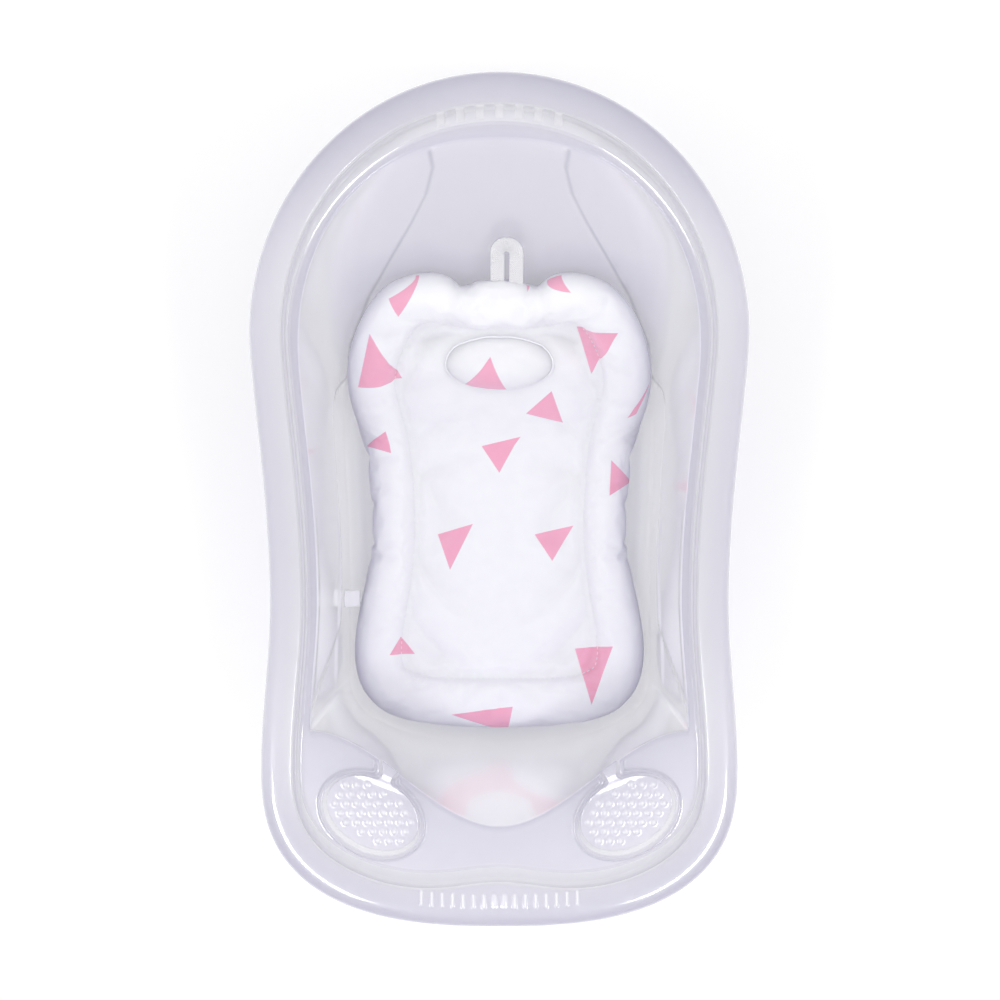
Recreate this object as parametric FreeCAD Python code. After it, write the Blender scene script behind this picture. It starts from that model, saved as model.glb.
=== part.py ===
"""Baby bathtub with a padded bath cushion, modelled as an assembly of separate pieces.

Frame: origin under the middle of the tub on the ground, +X across, +Y towards the head end, +Z up.
All sizes are in millimetres. Each piece is written to parts/NODE.step.
"""

import FreeCAD, Part
import math
import os
from dataclasses import dataclass, fields

V = FreeCAD.Vector
X_AXIS, Z_AXIS = V(1, 0, 0), V(0, 0, 1)

# ---- driving dimensions of the tub ----
LENGTH = 868.0
HEIGHT = 265.0
HEAD_WIDTH = 508.0
WAIST_WIDTH = 466.0
FOOT_WIDTH = 484.0
WALL = 2.3
RIM_WIDTH = 33.0
RIM_CROWN = 15.0          # inset of the rim's highest line
RIM_SHOULDER = 13.0       # height of the rim's rounded outer shoulder
RIM_SKIRT = 22.0          # how far the skirt hangs below the crown
RIM_FALL = 3.0            # the rim's inner edge lies this far below the crown
LEDGE_DEPTH = 28.0        # ledge and soap shelf, below the crown
LEDGE_SETBACK = 5.0       # draft of the short wall above the ledge
HEAD_SETBACK = 10.0       # the same wall leans this much more at the head end
FOOT_SETBACK = 8.0        # and this much more at the foot end
FLOOR_TOP = 24.0
FLOOR_FILLET = 18.0
CUT_PAST = 1.0            # how far a cutting block runs past a face

# ---- drain and feet ----
SUMP_RADIUS = 38.0
SUMP_DEPTH = 7.0
DRAIN_RADIUS = 17.0
COLLAR_DEPTH = 8.0        # drain collar below the sump
DRAIN_Y = -120.0
LEG_RADIUS = 20.0
LEG_X = 112.0
LEG_Y = (-205.0, 150.0)
FOOT_THICKNESS = 3.0
FOOT_PLUG_DEPTH = 9.0
PLUG_SEAT_GAP = 0.05
WASHER_THICKNESS = 1.5
CAP_THICKNESS = 3.0
CAP_RADIUS = 27.0
STEM_RADIUS = 13.0
STEM_DEPTH = 8.0
SEAL_CLEARANCE = 0.08
RIB_THICKNESS = 5.0
RIB_HEIGHT = 6.0

# ---- soap dishes, in the foot-end corners of the shelf ----
DISH_CENTRE = (131.0, -324.0)
DISH_SEMI_AXES = (54.0, 39.0)
DISH_TURN = 28.0          # degrees from the X axis
DISH_DEPTH = 10.0
DISH_DRAFT = 3.0
SPOUT_WIDTH = 18.0
SPOUT_DEPTH = 8.0
SPOUT_LENGTH = 62.0
SPOUT_HEADING = 112.0     # degrees from +X, on the right-hand side

# ---- bath cushion ----
GAP = 0.6                 # cushion to the tub's floor
BACKREST_GAP = 4.0        # the cushion's head rests in the backrest's corners, this far from its middle
ROLL_RADIUS = 29.0
ROLL_X = 134.0            # centre line of the side rolls
ROLL_FOOT_Y = -226.0
ROLL_FOOT_CORNER = 58.0
ROLL_HEAD_CORNER = 78.0
ROLL_BEND = 60.0          # radius of the bend onto the backrest
ROLL_CLIMB = 134.0        # how far the roll's centre line climbs the backrest
COVER = 1.4
SEAT_COVER = 1.5
SEAT_FOAM = 10.0
NET = 1.5
SEAT_TOP = SEAT_FOAM / 2 + SEAT_COVER
PILLOW = (112.0, 62.0, 20.0)
PILLOW_SETBACK = 30.0
PILLOW_GAP = 0.2

LOOP_WIDTH = 35.0
LOOP_LENGTH = 54.0
STRAP_WIDTH = 15.0
STRAP_THICKNESS = 2.0
LOOP_X = 8.0
LOOP_GAP = 1.6            # the loop's hinge line to the roll
LOOP_LEAN = 12.0          # degrees that the loop leans back from the backrest's slope
TAG = (1.2, 24.0, 26.0)
TAG_Y = -95.0
TAG_LEAN = 10.0
TAG_SEAM_RISE = 20.0      # degrees above the roll's equator


@dataclass
class Outline:
    """A closed plan shape: a rounded head end, a waist and a rounded foot end."""
    head_end: float
    foot_end: float
    head_half: float
    waist_half: float
    foot_half: float
    head_y: float
    waist_y: float
    foot_y: float
    head_power: float
    foot_power: float
    foot_bell: float = 0.0    # 0 for a rounded foot end, 1 for one shaped like a bell

    def grown(self, by, head_by=None, foot_by=None):
        """The same outline moved outwards by that distance, or inwards if it is negative."""
        head_by = by if head_by is None else head_by
        foot_by = by if foot_by is None else foot_by
        return Outline(self.head_end + head_by, self.foot_end - foot_by, self.head_half + by,
                       self.waist_half + by, self.foot_half + by, self.head_y, self.waist_y,
                       self.foot_y, self.head_power, self.foot_power, self.foot_bell)

    def half_points(self):
        """Points of the +X half from the head end to the foot end, both ends left out."""
        points = []
        cap_steps, side_steps = 9, 6
        for i in range(1, cap_steps + 1):
            angle = math.pi / 2 * i / cap_steps
            x, y = superellipse(angle, self.head_half, self.head_end - self.head_y, self.head_power)
            points.append((x, self.head_y + y))
        for i in range(1, side_steps):
            y = self.head_y + (self.foot_y - self.head_y) * i / side_steps
            points.append((self.side_half(y), y))
        for i in range(cap_steps, 0, -1):
            points.append(self.foot_point(i / cap_steps))
        return points

    def foot_point(self, share):
        """A point of the foot end, from the middle at share 0 to the side wall at share 1."""
        depth = self.foot_y - self.foot_end
        round_x, round_y = superellipse(math.pi / 2 * share, self.foot_half, depth, self.foot_power)
        bell_x, bell_y = self.foot_half * share, depth * smooth(1 - share)
        return (round_x + (bell_x - round_x) * self.foot_bell,
                self.foot_y - round_y - (bell_y - round_y) * self.foot_bell)

    def side_half(self, y):
        """Half width between the two end caps: a smooth step down to the waist and up again."""
        if y > self.waist_y:
            share = ((self.head_y - y) / (self.head_y - self.waist_y)) ** 0.78
            return self.head_half + (self.waist_half - self.head_half) * smooth(share)
        share = (self.waist_y - y) / (self.waist_y - self.foot_y)
        return self.waist_half + (self.foot_half - self.waist_half) * smooth(share)

    def wire(self, z):
        """The outline at that height, as one smooth closed curve cut into quarters."""
        right = self.half_points()
        left = [(-x, y) for x, y in reversed(right)]
        flat = [(0.0, self.head_end), *right, (0.0, self.foot_end), *left]
        points = [V(x, y, z) for x, y in flat]
        knots = [i / len(points) for i in range(len(points) + 1)]
        curve = Part.BSplineCurve()
        curve.interpolate(Points=points, PeriodicFlag=True, Parameters=knots)
        return Part.Wire([curve.toShape(start, start + 0.25) for start in (0.0, 0.25, 0.5, 0.75)])


def superellipse(angle, half_x, half_y, power):
    """A point of a superellipse quarter, with the angle measured from +Y."""
    return (half_x * math.sin(angle) ** (2 / power),
            half_y * max(math.cos(angle), 0.0) ** (2 / power))


def smooth(share):
    return share * share * (3 - 2 * share)


def between(a, b, share):
    """The outline that lies that share of the way from a to b."""
    mixed = [getattr(a, f.name) + (getattr(b, f.name) - getattr(a, f.name)) * share for f in fields(a)]
    return Outline(*mixed)


RIM = Outline(LENGTH / 2, -LENGTH / 2, HEAD_WIDTH / 2, WAIST_WIDTH / 2, FOOT_WIDTH / 2,
              168.0, -108.0, -272.0, 2.0, 2.6)
LEDGE_INSET = RIM_WIDTH + LEDGE_SETBACK
LEDGE_OUTER = RIM.grown(-LEDGE_INSET, head_by=-LEDGE_INSET - HEAD_SETBACK, foot_by=-LEDGE_INSET - FOOT_SETBACK)
CAVITY_TOP = Outline(375.0, -337.0, 207.0, 187.0, 194.0, 158.0, -105.0, -238.0, 2.15, 2.0, 1.0)
CAVITY_FLOOR = Outline(95.0, -275.0, 172.0, 168.0, 167.0, 50.0, -80.0, -200.0, 7.0, 2.6, 0.0)
LEDGE_Z = HEIGHT - LEDGE_DEPTH
BACKREST_ANGLE = math.atan2(LEDGE_Z - FLOOR_TOP, CAVITY_TOP.head_end - CAVITY_FLOOR.head_end)
FOOT_WALL_ANGLE = math.atan2(LEDGE_Z - FLOOR_TOP, CAVITY_FLOOR.foot_end - CAVITY_TOP.foot_end)


def rim_profile():
    """(inset, z) pairs over the rim's top, from the skirt's lower edge to the rim's inner edge."""
    points = [(0.0, HEIGHT - RIM_SKIRT), (0.0, HEIGHT - RIM_SHOULDER)]
    for degrees in (30, 60, 90):
        angle = math.radians(degrees)
        points.append((RIM_CROWN * (1 - math.cos(angle)), HEIGHT - RIM_SHOULDER * (1 - math.sin(angle))))
    points.append((RIM_WIDTH, HEIGHT - RIM_FALL))
    return points


def cavity_levels(grow):
    """(outline, z) pairs of the main wall from the floor to the ledge, moved out by grow across the wall."""
    height = LEDGE_Z - FLOOR_TOP
    fillet = [math.radians(degrees) for degrees in (0, 30, 60, 90)]
    levels = [(FLOOR_FILLET * (1 - math.sin(a)), FLOOR_FILLET * (1 - math.cos(a))) for a in fillet]
    levels += [(0.0, height * share) for share in (0.4, 1.0)]
    result = []
    for inset, rise in levels:
        outline = between(CAVITY_FLOOR, CAVITY_TOP, rise / height).grown(-inset)
        outline = outline.grown(grow, head_by=grow / math.sin(BACKREST_ANGLE),
                                foot_by=grow / math.sin(FOOT_WALL_ANGLE))
        drop = grow if rise == height else grow * inset / FLOOR_FILLET
        result.append((outline, FLOOR_TOP + rise - drop))
    return result


def cavity_wires(grow):
    return [outline.wire(z) for outline, z in cavity_levels(grow)]


def loft(wires):
    """Straight bands from each wire to the next."""
    return Part.makeLoft(wires, False, True).Faces


def ring_face(outer, inner):
    return Part.makeFace([outer, inner], "Part::FaceMakerBullseye")


def tub_skin():
    """The moulded wall as one closed solid of even thickness, before its legs, dishes and drain."""
    top = [RIM.grown(-inset).wire(z) for inset, z in rim_profile()]
    under = [RIM.grown(-WALL - inset).wire(z - WALL) for inset, z in rim_profile()[1:]]
    skirt_in = RIM.grown(-WALL).wire(HEIGHT - RIM_SKIRT)
    ledge_out = LEDGE_OUTER.wire(LEDGE_Z)
    ledge_under = LEDGE_OUTER.grown(WALL).wire(LEDGE_Z - WALL)
    inside, outside = cavity_wires(0.0), cavity_wires(WALL)
    faces = [ring_face(top[0], skirt_in), ring_face(ledge_out, inside[-1]),
             ring_face(ledge_under, outside[-1]), Part.Face(inside[0]), Part.Face(outside[0])]
    bands = (top, under, inside, outside, (skirt_in, under[0]), (ledge_out, top[-1]), (ledge_under, under[-1]))
    for wires in bands:
        faces += loft(list(wires))
    skin = Part.Compound(faces)
    skin.sewShape()
    solid = Part.makeSolid(Part.Shell(skin.Faces))
    if solid.Volume < 0:
        solid.reverse()
    return solid


def mid_wall():
    """The cavity filled up to the middle of its wall, to trim what is moulded onto the outside."""
    return Part.makeLoft(cavity_wires(WALL / 2), True, True)


def cylinder(radius, x, y, low, high):
    return Part.makeCylinder(radius, high - low, V(x, y, low))


def tube(outer, inner, x, y, low, high):
    return cylinder(outer, x, y, low, high).cut(cylinder(inner, x, y, low, high))


def ellipse_tub(grow, low, high):
    """A drafted elliptical block in the place of the right-hand soap dish."""
    wires = []
    for z, shrink in ((low, DISH_DRAFT), (high, 0.0)):
        major, minor = (semi + grow - shrink for semi in DISH_SEMI_AXES)
        edge = Part.Ellipse(V(0, 0, 0), major, minor).toShape()
        wire = Part.Wire([edge])
        wire.rotate(V(0, 0, 0), Z_AXIS, DISH_TURN)
        wire.translate(V(*DISH_CENTRE, z))
        wires.append(wire)
    return Part.makeLoft(wires, True, True)


def spout_block(grow, low, high):
    """A block along the right-hand dish's spout, from the dish to past the edge of the cavity."""
    width = SPOUT_WIDTH + 2 * grow
    block = Part.makeBox(SPOUT_LENGTH, width, high - low, V(0, -width / 2, low))
    block.rotate(V(0, 0, 0), Z_AXIS, SPOUT_HEADING)
    block.translate(V(*DISH_CENTRE, 0))
    return block


def both_sides(shapes):
    """The shapes and their mirror images across the tub."""
    return shapes + [s.mirror(V(0, 0, 0), X_AXIS) for s in shapes]


def add_soap_dishes(shell):
    """Two recessed dishes in the shelf, each with a spout that drains into the tub."""
    top, floor = LEDGE_Z - WALL / 2, LEDGE_Z - DISH_DEPTH
    spout_floor = LEDGE_Z - SPOUT_DEPTH
    under = [ellipse_tub(WALL, floor - WALL, top), spout_block(WALL, spout_floor - WALL, top)]
    under = [s.cut(mid_wall()) for s in under]
    above = [ellipse_tub(0.0, floor, LEDGE_Z), spout_block(0.0, spout_floor, LEDGE_Z + CUT_PAST)]
    return shell.fuse(both_sides(under)).cut(both_sides(above))


def add_drain(shell):
    """A round sump in the floor with the drain hole and its collar."""
    sump_floor = FLOOR_TOP - SUMP_DEPTH
    cup = cylinder(SUMP_RADIUS + WALL, 0, DRAIN_Y, sump_floor - WALL, FLOOR_TOP - WALL / 2)
    collar = cylinder(DRAIN_RADIUS + WALL, 0, DRAIN_Y, sump_floor - WALL - COLLAR_DEPTH, sump_floor - WALL / 2)
    shell = shell.fuse([cup, collar])
    sump = cylinder(SUMP_RADIUS, 0, DRAIN_Y, sump_floor, FLOOR_TOP + CUT_PAST)
    hole = cylinder(DRAIN_RADIUS, 0, DRAIN_Y, 0, FLOOR_TOP)
    return shell.cut([sump, hole])


def add_legs(shell):
    """Four hollow legs under the floor and the backrest."""
    inner = LEG_RADIUS - WALL
    legs = []
    for y in LEG_Y:
        leg = tube(LEG_RADIUS, inner, LEG_X, y, FOOT_THICKNESS, LEDGE_Z)
        lowest = min(leg.cut(mid_wall()).Solids, key=lambda s: s.BoundBox.ZMin)
        legs.append(lowest)
    return shell.fuse(both_sides(legs))


def tub_shell():
    shell = add_soap_dishes(tub_skin())
    shell = add_drain(shell)
    return add_legs(shell).removeSplitter()


def foot_pads():
    """Rubber feet, each with a plug pressed up into its leg."""
    pads = {}
    for end, y in zip(("foot", "head"), LEG_Y):
        for side, x in (("left", -LEG_X), ("right", LEG_X)):
            disc = cylinder(LEG_RADIUS, x, y, 0, FOOT_THICKNESS)
            plug = cylinder(LEG_RADIUS - WALL, x, y, 0, FOOT_THICKNESS + FOOT_PLUG_DEPTH)
            pads[f"foot_pad_{end}_{side}"] = disc.fuse(plug).removeSplitter()
    return pads


def drain_plug():
    """The stopper's hard cap with its finger rib, and the soft seal round the stem."""
    seat = FLOOR_TOP - SUMP_DEPTH + PLUG_SEAT_GAP
    washer_top = seat + WASHER_THICKNESS
    cap_top = washer_top + CAP_THICKNESS
    stem_low = seat - STEM_DEPTH
    cap = cylinder(CAP_RADIUS, 0, DRAIN_Y, washer_top, cap_top)
    stem = cylinder(STEM_RADIUS, 0, DRAIN_Y, stem_low, cap_top)
    barb = cylinder(STEM_RADIUS + 1.5, 0, DRAIN_Y, stem_low - 1.5, stem_low)
    rib = Part.makeBox(2 * CAP_RADIUS - 18, RIB_THICKNESS, RIB_HEIGHT,
                       V(9 - CAP_RADIUS, DRAIN_Y - RIB_THICKNESS / 2, cap_top))
    washer = cylinder(CAP_RADIUS - 2, 0, DRAIN_Y, seat, washer_top)
    sleeve = cylinder(DRAIN_RADIUS - SEAL_CLEARANCE, 0, DRAIN_Y, stem_low, seat)
    seal = washer.fuse(sleeve).cut(cylinder(STEM_RADIUS, 0, DRAIN_Y, stem_low, washer_top))
    return {"drain_plug_cap": cap.fuse([stem, barb, rib]).removeSplitter(),
            "drain_plug_seal": seal.removeSplitter()}


class Bed:
    """The middle sheet of the cushion: flat on the floor, then bent up onto the backrest."""
    z = FLOOR_TOP + GAP + ROLL_RADIUS
    fold_y = CAVITY_FLOOR.head_end - BACKREST_GAP - (GAP + ROLL_RADIUS) * math.tan(BACKREST_ANGLE / 2)
    bend_start = fold_y - ROLL_BEND * math.tan(BACKREST_ANGLE / 2)

    @classmethod
    def flat(cls, x, y, n=0.0):
        return V(x, y, cls.z + n)

    @classmethod
    def bend(cls, x, angle, n=0.0):
        radius = ROLL_BEND - n
        return V(x, cls.bend_start + radius * math.sin(angle), cls.z + ROLL_BEND - radius * math.cos(angle))

    @classmethod
    def slope(cls, x, climb, n=0.0):
        along = V(0, math.cos(BACKREST_ANGLE), math.sin(BACKREST_ANGLE))
        return cls.bend(x, BACKREST_ANGLE, n) + along * climb


def arc(a, middle, b):
    return Part.Arc(a, middle, b).toShape()


def line(a, b):
    return Part.LineSegment(a, b).toShape()


def corner_middle(x, along, corner, heading):
    """The middle of a round corner whose centre is corner inwards of x and of along."""
    reach = corner * (1 - math.sqrt(0.5))
    return x - reach, along + heading * reach


def roll_path():
    """The roll's closed centre line, of straight runs joined by tangent arcs."""
    half = BACKREST_ANGLE / 2
    foot_in, head_in = ROLL_X - ROLL_FOOT_CORNER, ROLL_X - ROLL_HEAD_CORNER
    foot_y, head_climb = ROLL_FOOT_Y + ROLL_FOOT_CORNER, ROLL_CLIMB - ROLL_HEAD_CORNER
    foot_x, foot_mid = corner_middle(ROLL_X, ROLL_FOOT_Y, ROLL_FOOT_CORNER, 1)
    head_x, head_mid = corner_middle(ROLL_X, ROLL_CLIMB, ROLL_HEAD_CORNER, -1)
    edges = [line(Bed.flat(-foot_in, ROLL_FOOT_Y), Bed.flat(foot_in, ROLL_FOOT_Y)),
             arc(Bed.flat(foot_in, ROLL_FOOT_Y), Bed.flat(foot_x, foot_mid), Bed.flat(ROLL_X, foot_y)),
             line(Bed.flat(ROLL_X, foot_y), Bed.flat(ROLL_X, Bed.bend_start)),
             arc(Bed.bend(ROLL_X, 0), Bed.bend(ROLL_X, half), Bed.bend(ROLL_X, BACKREST_ANGLE))]
    if head_climb > 0:
        edges.append(line(Bed.slope(ROLL_X, 0), Bed.slope(ROLL_X, head_climb)))
    edges += [arc(Bed.slope(ROLL_X, head_climb), Bed.slope(head_x, head_mid), Bed.slope(head_in, ROLL_CLIMB)),
              line(Bed.slope(head_in, ROLL_CLIMB), Bed.slope(-head_in, ROLL_CLIMB))]
    left = [e.mirror(V(0, 0, 0), X_AXIS) for e in edges[1:-1]]
    return Part.Wire(Part.__sortEdges__(edges + left))


def roll(radius):
    """The round roll of that radius along the closed centre line."""
    start = Part.Circle(Bed.flat(0, ROLL_FOOT_Y), X_AXIS, radius).toShape()
    return roll_path().makePipeShell([Part.Wire([start])], True, False)


def seat_layer(low, high):
    """One layer of the seat between two heights over the bed's middle sheet, as wide as the roll's centre line."""
    half = BACKREST_ANGLE / 2
    x = -ROLL_X
    edges = []
    for n in (low, high):
        edges += [line(Bed.flat(x, ROLL_FOOT_Y, n), Bed.bend(x, 0, n)),
                  arc(Bed.bend(x, 0, n), Bed.bend(x, half, n), Bed.bend(x, BACKREST_ANGLE, n)),
                  line(Bed.slope(x, 0, n), Bed.slope(x, ROLL_CLIMB, n))]
    edges.append(line(Bed.flat(x, ROLL_FOOT_Y, low), Bed.flat(x, ROLL_FOOT_Y, high)))
    edges.append(line(Bed.slope(x, ROLL_CLIMB, low), Bed.slope(x, ROLL_CLIMB, high)))
    side = Part.Face(Part.Wire(Part.__sortEdges__(edges)))
    return side.extrude(V(2 * ROLL_X, 0, 0))


def largest(shape):
    return max(shape.Solids, key=lambda s: s.Volume)


def on_slope(shape, climb, n):
    """Moves a shape modelled flat at the origin onto the backrest part of the bed."""
    shape.rotate(V(0, 0, 0), X_AXIS, math.degrees(BACKREST_ANGLE))
    shape.translate(Bed.slope(0, climb, n))
    return shape


def head_pillow(full_roll):
    """A low dome on the seat between the head corners."""
    length, width, height = PILLOW
    squash = FreeCAD.Matrix()
    squash.scale(V(length / 2, width / 2, height))
    dome = Part.makeSphere(1, V(0, 0, 0), Z_AXIS, 0, 90, 360).transformGeometry(squash)
    climb = ROLL_CLIMB - ROLL_RADIUS - PILLOW_SETBACK
    return largest(on_slope(dome, climb, SEAT_TOP + PILLOW_GAP).cut(full_roll))


def cushion():
    """Every piece of the bath cushion but its loop and tag."""
    full_roll = roll(ROLL_RADIUS)
    fill = roll(ROLL_RADIUS - COVER)
    foam_low = -SEAT_FOAM / 2
    layers = {"cushion_base_net": (foam_low - NET, foam_low),
              "cushion_seat_foam": (foam_low, -foam_low),
              "cushion_seat_cover": (-foam_low, SEAT_TOP)}
    pieces = {name: largest(seat_layer(*span).cut(full_roll)) for name, span in layers.items()}
    pieces["cushion_roll_cover"] = full_roll.cut(fill)
    pieces["cushion_roll_fill"] = fill
    pieces["head_pillow"] = head_pillow(full_roll)
    return pieces


def loop_hinge():
    """The middle of the loop's foot, where it leaves the roll's seam."""
    return Bed.slope(LOOP_X, ROLL_CLIMB + ROLL_RADIUS + LOOP_GAP)


def hanging_loop():
    """A webbing loop laid out flat: two legs and a round top, leaning back over the backrest."""
    outer, inner = LOOP_WIDTH / 2, LOOP_WIDTH / 2 - STRAP_WIDTH
    legs = LOOP_LENGTH - outer
    block = Part.makeBox(LOOP_WIDTH, legs, STRAP_THICKNESS, V(-outer, 0, 0))
    crown = Part.makeCylinder(outer, STRAP_THICKNESS, V(0, legs, 0))
    slot = Part.makeBox(2 * inner, legs, STRAP_THICKNESS, V(-inner, -CUT_PAST, 0))
    slot_end = Part.makeCylinder(inner, STRAP_THICKNESS, V(0, legs - CUT_PAST, 0))
    loop = block.fuse(crown).cut([slot, slot_end]).removeSplitter()
    loop.translate(V(0, 0, -STRAP_THICKNESS / 2))
    loop.rotate(V(0, 0, 0), X_AXIS, math.degrees(BACKREST_ANGLE) - LOOP_LEAN)
    loop.translate(loop_hinge())
    return loop


def side_tag(full_roll):
    """The folded care tag, sewn into the left roll's outer seam and standing up beside the wall."""
    thickness, length, height = TAG
    tag = Part.makeBox(thickness, length, height, V(-thickness, -length / 2, 0))
    tag.rotate(V(0, 0, 0), V(0, 1, 0), -TAG_LEAN)
    rise = math.radians(TAG_SEAM_RISE)
    tag.translate(V(-ROLL_X - ROLL_RADIUS * math.cos(rise), TAG_Y, Bed.z + ROLL_RADIUS * math.sin(rise)))
    return largest(tag.cut(full_roll))


def main():
    pieces = {"tub_shell": tub_shell(), "hanging_loop": hanging_loop(), "side_tag": side_tag(roll(ROLL_RADIUS))}
    pieces.update(foot_pads())
    pieces.update(drain_plug())
    pieces.update(cushion())
    os.makedirs("parts", exist_ok=True)
    for name, shape in pieces.items():
        shape.exportStep(f"parts/{name}.step")
        print(f"{name:20} valid {shape.isValid()} solids {len(shape.Solids)} {shape.Volume / 1000:9.2f} cm3")
    hinge = loop_hinge()
    print(f"loop hinge at {hinge.x:.2f} {hinge.y:.2f} {hinge.z:.2f}")


main()
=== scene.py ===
"""Looks of the baby bathtub and its bath cushion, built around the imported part.

The row frame is metres, +X across, +Y towards the head end, +Z up. Sizes below are in millimetres,
and put_mesh() turns them into metres.
"""

import math
from contextlib import contextmanager
from dataclasses import dataclass, fields

import bmesh
import bpy
import numpy as np
from mathutils import Matrix, Vector
from mathutils.bvhtree import BVHTree


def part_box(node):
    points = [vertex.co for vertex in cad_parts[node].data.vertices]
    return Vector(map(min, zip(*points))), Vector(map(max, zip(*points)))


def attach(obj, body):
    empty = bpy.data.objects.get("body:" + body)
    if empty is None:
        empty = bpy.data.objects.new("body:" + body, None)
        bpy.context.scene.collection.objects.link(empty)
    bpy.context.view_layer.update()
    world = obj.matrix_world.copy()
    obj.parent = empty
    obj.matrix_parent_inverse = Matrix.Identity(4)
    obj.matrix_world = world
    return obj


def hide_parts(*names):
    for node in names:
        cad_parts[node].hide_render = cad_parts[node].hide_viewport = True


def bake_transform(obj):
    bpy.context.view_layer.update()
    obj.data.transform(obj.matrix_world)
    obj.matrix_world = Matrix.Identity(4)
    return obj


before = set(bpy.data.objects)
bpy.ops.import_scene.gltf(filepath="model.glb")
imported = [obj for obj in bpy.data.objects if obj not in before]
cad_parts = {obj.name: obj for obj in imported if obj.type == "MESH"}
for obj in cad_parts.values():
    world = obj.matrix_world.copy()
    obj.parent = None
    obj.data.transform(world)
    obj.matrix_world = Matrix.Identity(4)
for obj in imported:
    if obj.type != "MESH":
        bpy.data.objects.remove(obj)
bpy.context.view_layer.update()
MM = 0.001


def box_mm(node):
    low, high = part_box(node)
    return np.array(low) / MM, np.array(high) / MM


# ---- the tub's sizes, as in the part ----
TUB_LOW, TUB_HIGH = box_mm("tub_shell")
LENGTH = TUB_HIGH[1] - TUB_LOW[1]
HEIGHT = TUB_HIGH[2]
HEAD_WIDTH = TUB_HIGH[0] - TUB_LOW[0]
WAIST_WIDTH = HEAD_WIDTH - 42
FOOT_WIDTH = HEAD_WIDTH - 24
WALL = 2.3
RIM_WIDTH = 33.0
RIM_CROWN = 15.0
RIM_SHOULDER = 13.0
RIM_POWER = 2.5           # above 2, the crown is flatter and the shoulder rounder than an ellipse
RIM_SKIRT = 22.0
RIM_FALL = 3.0
LEDGE_DEPTH = 28.0
LEDGE_INSET = RIM_WIDTH + 5
HEAD_SETBACK = 10.0
FOOT_SETBACK = 8.0
FLOOR_TOP = 24.0
FLOOR_FILLET = 18.0
SUMP_RADIUS = 38.0
SUMP_DEPTH = 7.0
DRAIN_RADIUS = 17.0
COLLAR_DEPTH = 8.0
DRAIN = np.array([0.0, -120.0])
LEG_RADIUS = 20.0
LEG_SIDES = 40
LEG_SOCKET = 10.0
LEG_OVERLAP = 1.0         # how far a leg reaches into the wall
FOOT_DISC = 3.0           # thickness of a rubber foot's disc
LEG_X = 112.0
LEG_Y = (-205.0, 150.0)

# ---- roundings of the tub's edges ----
RIM_EDGE_ROUND = 4.0
LEDGE_ROUND = 5.0         # on the underside
FACET_WIDTH = 3.4         # the narrow sloping facet round the ledge's outer edge
FACET_TILT = math.radians(22.0)
FACET_ROUND = 0.7
CAVITY_ROUND = 6.0
SUMP_ROUND = 2.5

# ---- soap dishes ----
DISH_CENTRE = np.array([131.0, -324.0])
DISH_SEMI_AXES = (54.0, 39.0)
DISH_TURN = math.radians(28.0)
DISH_DEPTH = 10.0
DISH_SLOPE = 4.0          # width of the dish's sloping edge
DISH_ZONE_Y = -240.0      # the dishes and their spouts are all nearer the foot end than this
BEAD_HEIGHT = 1.4
BEAD_OFFSET = 3.2
BEAD_WIDTH = 1.3
SPOUT_HEADING = math.radians(112.0)
SPOUT_WIDTH = 18.0
SPOUT_FLARE = 9.0
SPOUT_DEPTH = 8.0
SPOUT_LENGTH = 62.0
SPOUT_BLEND = 5.0         # how softly the spout runs into the dish
NUB_ROWS = (3, 5, 7, 7, 7, 5, 3)
NUB_PITCH = 11.2
NUB_RADIUS = 2.3
NUB_HEIGHT = 1.5

# ---- the rim's foot end, its ribs, and the head end's flutes ----
FOOT_PLATFORM = 12.0      # how far the rim widens inwards in the middle of the foot end
PLATFORM_SPREAD = 62.0
RIB_COUNT = 16
RIB_PITCH = 10.5
RIB_SIZE = (2.2, 1.1)     # width and height
RIB_INSETS = (20.0, 36.0)     # from the foot end's edge
RIB_ZONE_Y = -300.0
RIB_ZONE_Z = HEIGHT - 8
FLUTE_COUNT = 7
FLUTE_PITCH = 19.9
FLUTE_SIZE = (8.0, 1.3)   # width and depth
FLUTE_ZONE_Y = 330.0

# ---- the basin: the lower part of the cavity, sunk a little into the walls and the backrest ----
BASIN_EDGE = ((120, 173), (174, 165), (221, 143), (261, 116), (294, 93), (320, 77), (344, 69), (373, 75))
BASIN_HEIGHT = 97.0       # the crease's height along the sides
BASIN_SINK = 2.2
BASIN_EDGE_WIDTH = 8.5
PANEL_SINK = 1.2          # the recessed panels in the side walls

PANEL_Y = (-205.0, -18.0)
PANEL_Z = (108.0, 226.0)
PANEL_EDGE = 8.0
CAVITY_REACH = 215.0      # further across than this there is only the rim and the skirt

CAP_STEPS = 104           # ring points along each end of the tub, for each half
SIDE_STEPS = 60


# ==== mesh helpers

def configure(target, **settings):
    for name, value in settings.items():
        setattr(target, name, value)


def put_object(name, data):
    thing = bpy.data.objects.new(name, data)
    bpy.context.scene.collection.objects.link(thing)
    return thing


def put_mesh(name, points, faces):
    """A new object from points in millimetres."""
    mesh = bpy.data.meshes.new(name)
    mesh.from_pydata((np.asarray(points, float) * MM).tolist(), [], [list(map(int, f)) for f in faces])
    mesh.validate()
    thing = put_object(name, mesh)
    shade_smooth(thing)
    return thing


def shade_smooth(thing):
    thing.data.polygons.foreach_set("use_smooth", [True] * len(thing.data.polygons))


def points_of(thing):
    """The object's vertices in millimetres."""
    flat = np.empty(len(thing.data.vertices) * 3)
    thing.data.vertices.foreach_get("co", flat)
    return flat.reshape(-1, 3) / MM


def set_points(thing, points):
    thing.data.vertices.foreach_set("co", (np.asarray(points, float) * MM).ravel())
    thing.data.update()


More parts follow.
